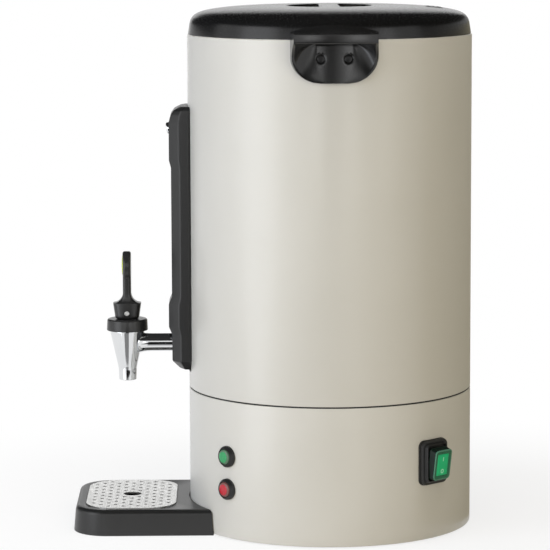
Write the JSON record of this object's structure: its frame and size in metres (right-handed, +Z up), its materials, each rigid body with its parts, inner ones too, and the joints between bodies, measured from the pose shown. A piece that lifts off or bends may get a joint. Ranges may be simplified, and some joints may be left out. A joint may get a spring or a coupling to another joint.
{
  "type": "coffee urn",
  "caption": "Tall round electric coffee urn on a drum base: flat lid, side handles, gauge panel, lever tap over a drip tray, indicator lamps and a sealed rocker switch.",
  "frame": {"origin": "on the axis of the round body, on the surface that the foot ring stands on", "axes": "+Z up along the body axis, -Y towards the tap, +X towards the side with the lamps and the switch"},
  "size_m": [0.3, 0.324, 0.4217],
  "materials": {
    "painted_steel": "satin",
    "black_plastic": "fine moulded grain",
    "control_plastic": "satin",
    "black_rubber": "matt",
    "stainless_steel": "brushed",
    "black_steel": "black oxide",
    "chrome_plate": "polished",
    "heat_plate_aluminium": "cast",
    "silicone": "matt",
    "ceramic_white": "matt",
    "wire_insulation": "semi-gloss",
    "gauge_glass": "clear",
    "lime_plastic": "glossy",
    "green_lens": "clear tinted",
    "red_lens": "clear tinted",
    "green_boot": "translucent",
    "green_rocker": "glossy"
  },
  "bodies": {
    "urn": {"outer_shell": "painted_steel", "base_housing": "painted_steel", "right_handle": "black_plastic", "left_handle": "black_plastic", "gauge_panel": "black_plastic", "tap_bonnet": "black_plastic", "green_lamp_bezel": "control_plastic", "red_lamp_bezel": "control_plastic", "switch_plate": "control_plastic", "switch_body": "control_plastic", "thermostat": "control_plastic", "gauge_upper_block": "control_plastic", "gauge_lower_block": "control_plastic", "cord_gland": "control_plastic", "gland_nut": "control_plastic", "seam_gasket": "black_rubber", "foot_ring": "black_rubber", "switch_gasket": "black_rubber", "inner_tank": "stainless_steel", "base_plate": "stainless_steel", "tap_spring": "stainless_steel", "tie_rod": "stainless_steel", "tie_nut": "stainless_steel", "tank_nut": "stainless_steel", "handle_nuts": "stainless_steel", "lamp_nuts": "stainless_steel", "base_screws": "stainless_steel", "heating_element": "stainless_steel", "handle_screws": "black_steel", "tap_body": "chrome_plate", "cap_screw": "chrome_plate", "heat_plate": "heat_plate_aluminium", "tap_spacer": "silicone", "tank_washer": "silicone", "gauge_seals": "silicone", "terminal_block": "ceramic_white", "boil_dry_cutout": "ceramic_white", "wiring": "wire_insulation", "gauge_glass": "gauge_glass", "green_lamp_lens": "green_lens", "red_lamp_lens": "red_lens"},
    "tap_stem": {"tap_stem": "stainless_steel", "seat_cup": "silicone"},
    "tap_lever": {"tap_lever": "black_plastic", "lever_pin": "chrome_plate", "lever_inset": "lime_plastic"},
    "percolator": {"filter_basket": "stainless_steel", "basket_cover": "stainless_steel", "riser_tube": "stainless_steel", "pump_foot": "stainless_steel"},
    "lid": {"lid_cover": "black_plastic", "lid_liner": "stainless_steel", "lid_seal": "silicone"},
    "drip_tray": {"drip_tray": "black_plastic"},
    "drip_grid": {"drip_grid": "stainless_steel"},
    "rocker": {"switch_rocker": "green_rocker", "switch_boot": "green_boot"}
  },
  "joints": [
    {"name": "lever_pull", "type": "hinge", "parent": "tap_stem", "child": "tap_lever", "pos_m": [0, -0.1655, 0.1724], "axis": [1, 0, 0], "range_deg": [0, 40], "stiffness_Nm_per_rad": 0.12, "springref_deg": -20.05},
    {"name": "stem_lift", "type": "slide", "parent": "urn", "child": "tap_stem", "axis": [0, 0, 1], "range_m": [0, 0.0045], "deforming": ["tap_spring"]},
    {"name": "percolator_lift", "type": "slide", "parent": "urn", "child": "percolator", "axis": [0, 0, 1], "range_m": [0, 0.3]},
    {"name": "lid_lift", "type": "slide", "parent": "percolator", "child": "lid", "axis": [0, 0, 1], "range_m": [0, 0.12]},
    {"name": "tray_pull", "type": "slide", "parent": "urn", "child": "drip_tray", "axis": [0, -1, 0], "range_m": [0, 0.13]},
    {"name": "grid_lift", "type": "slide", "parent": "drip_tray", "child": "drip_grid", "axis": [0, 0, 1], "range_m": [0, 0.06]},
    {"name": "rocker_tilt", "type": "hinge", "parent": "urn", "child": "rocker", "pos_m": [0.0863, 0.08048, 0.0633], "axis": [0.682, -0.7314, 0], "range_deg": [0, 16]}
  ],
  "couplings": [
    {"joint": "stem_lift", "follows": "lever_pull", "m_per_rad": 0.0062}
  ]
}
